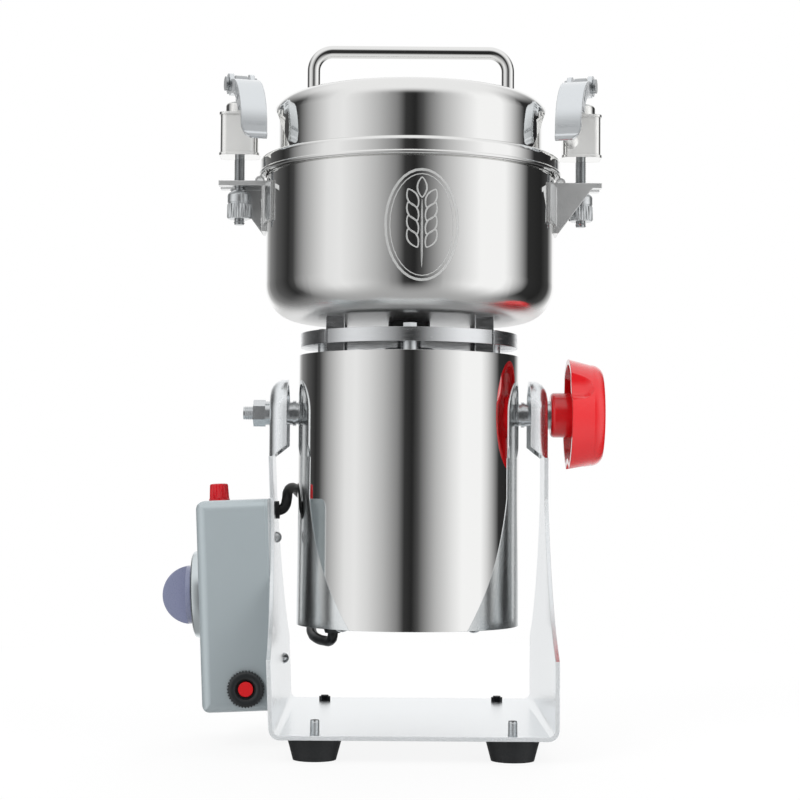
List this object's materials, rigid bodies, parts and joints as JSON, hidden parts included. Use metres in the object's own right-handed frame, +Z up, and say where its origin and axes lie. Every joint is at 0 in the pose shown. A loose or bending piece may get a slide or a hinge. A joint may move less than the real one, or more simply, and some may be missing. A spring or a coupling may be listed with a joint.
{
  "type": "electric grain mill",
  "caption": "Swing-type electric grain mill: a mirror-polished bowl and motor tilt in a bent sheet stand, with a lid held by side latches, a timer box and a red handwheel.",
  "frame": {"origin": "on the table under the middle of the whole mill's box", "axes": "+Z up, front is -Y, +X to the handwheel's side; the bowl's axis stands a little to the right of the origin"},
  "size_m": [0.2728, 0.205, 0.434],
  "materials": {
    "stand_paint": "fine speckled white powder coat",
    "box_paint": "satin blue-grey enamel",
    "foot_rubber": "matte",
    "zinc_screws": "bright zinc plate",
    "mirror_steel": "mirror-polished stainless steel",
    "inner_steel": "plain",
    "brushed_aluminium": "turned and brushed",
    "cast_aluminium": "satin die casting",
    "nickel_plate": "bright nickel",
    "red_plastic": "moulded",
    "lamp_red": "clear red lens",
    "knob_plastic": "moulded",
    "dial_plate": "satin",
    "black_plastic": "moulded",
    "cable_rubber": "smooth",
    "core_steel": "stacked laminations",
    "copper_winding": "varnished copper wire",
    "brass": "plain",
    "carbon": "pressed graphite",
    "seal_rubber": "white silicone",
    "blade_steel": "ground"
  },
  "bodies": {
    "stand": {"u_frame": "stand_paint", "rubber_feet": "foot_rubber", "foot_fasteners": "zinc_screws", "control_box": "box_paint", "control_box_back": "box_paint", "box_fasteners": "zinc_screws", "timer_dial": "dial_plate", "timer_body": "black_plastic", "lamp_lens": "lamp_red", "lamp_body": "black_plastic", "reset_breaker": "black_plastic", "reset_collar": "black_plastic", "mains_gland": "black_plastic", "arm_grommet": "cable_rubber", "motor_lead": "cable_rubber"},
    "mill": {"motor_housing": "mirror_steel", "motor_base_cover": "black_plastic", "motor_screws": "zinc_screws", "bearing_carriers": "cast_aluminium", "bearings": "inner_steel", "stator_core": "core_steel", "field_coils": "copper_winding", "brush_holders": "brass", "carbon_brushes": "carbon", "pivot_bosses": "inner_steel", "left_pivot_stud": "zinc_screws", "left_pivot_nut": "zinc_screws", "pivot_spacers": "zinc_screws", "motor_flange": "brushed_aluminium", "bowl_legs": "brushed_aluminium", "bowl_screws": "zinc_screws", "bowl": "mirror_steel", "shaft_seal": "seal_rubber", "latch_brackets": "nickel_plate"},
    "rotor": {"rotor_shaft": "inner_steel", "armature_core": "core_steel", "armature_winding": "copper_winding", "commutator": "copper_winding", "cooling_fan": "black_plastic", "blade_hub": "inner_steel", "lower_blade": "blade_steel", "upper_blade": "blade_steel", "blade_nut": "inner_steel"},
    "handwheel": {"handwheel": "red_plastic", "handwheel_stud": "zinc_screws"},
    "lid": {"lid": "mirror_steel", "lid_handle": "mirror_steel", "lid_gasket": "seal_rubber", "handle_screws": "zinc_screws"},
    "left_latch": {"left_latch_rod": "zinc_screws", "left_latch_housing": "nickel_plate"},
    "right_latch": {"right_latch_rod": "zinc_screws", "right_latch_housing": "nickel_plate"},
    "left_lever": {"left_latch_lever": "cast_aluminium"},
    "right_lever": {"right_latch_lever": "cast_aluminium"},
    "left_nut": {"left_adjust_nut": "zinc_screws"},
    "right_nut": {"right_adjust_nut": "zinc_screws"},
    "timer_knob": {"timer_knob": "knob_plastic"},
    "reset_button": {"reset_button": "red_plastic"}
  },
  "joints": [
    {"name": "mill_tilt", "type": "hinge", "parent": "stand", "child": "mill", "pos_m": [0.01519, 0, 0.2023], "axis": [1, 0, 0], "range_deg": [0, 110], "deforming": ["motor_lead"]},
    {"name": "rotor_spin", "type": "hinge", "parent": "mill", "child": "rotor", "pos_m": [0.01519, 0, 0.2023], "axis": [0, 0, 1], "continuous": true},
    {"name": "handwheel_turn", "type": "hinge", "parent": "mill", "child": "handwheel", "pos_m": [0.01519, 0, 0.2023], "axis": [1, 0, 0], "range_deg": [-360, 0]},
    {"name": "lid_lift", "type": "slide", "parent": "mill", "child": "lid", "axis": [0, 0, 1], "range_m": [0, 0.11]},
    {"name": "left_latch_swing", "type": "hinge", "parent": "mill", "child": "left_latch", "pos_m": [-0.09181, 0, 0.3338], "axis": [0, -1, 0], "range_deg": [0, 35]},
    {"name": "left_lever_flip", "type": "hinge", "parent": "left_latch", "child": "left_lever", "pos_m": [-0.09181, 0, 0.409], "axis": [-0.9613, -0.2756, 0], "range_deg": [0, 110]},
    {"name": "left_nut_turn", "type": "hinge", "parent": "left_latch", "child": "left_nut", "pos_m": [-0.09181, 0, 0.3338], "axis": [0, 0, 1], "continuous": true},
    {"name": "right_latch_swing", "type": "hinge", "parent": "mill", "child": "right_latch", "pos_m": [0.12219, 0, 0.3338], "axis": [0, 1, 0], "range_deg": [0, 35]},
    {"name": "right_lever_flip", "type": "hinge", "parent": "right_latch", "child": "right_lever", "pos_m": [0.12219, 0, 0.409], "axis": [-0.9613, 0.2756, 0], "range_deg": [0, 110]},
    {"name": "right_nut_turn", "type": "hinge", "parent": "right_latch", "child": "right_nut", "pos_m": [0.12219, 0, 0.3338], "axis": [0, 0, 1], "continuous": true},
    {"name": "timer_turn", "type": "hinge", "parent": "stand", "child": "timer_knob", "pos_m": [-0.13639, 0, 0.08857], "axis": [0.999, 0, 0.0436], "range_deg": [0, 300]},
    {"name": "reset_press", "type": "slide", "parent": "stand", "child": "reset_button", "axis": [0, 1, 0], "range_m": [0, 0.0025], "stiffness_N_per_m": 800}
  ]
}
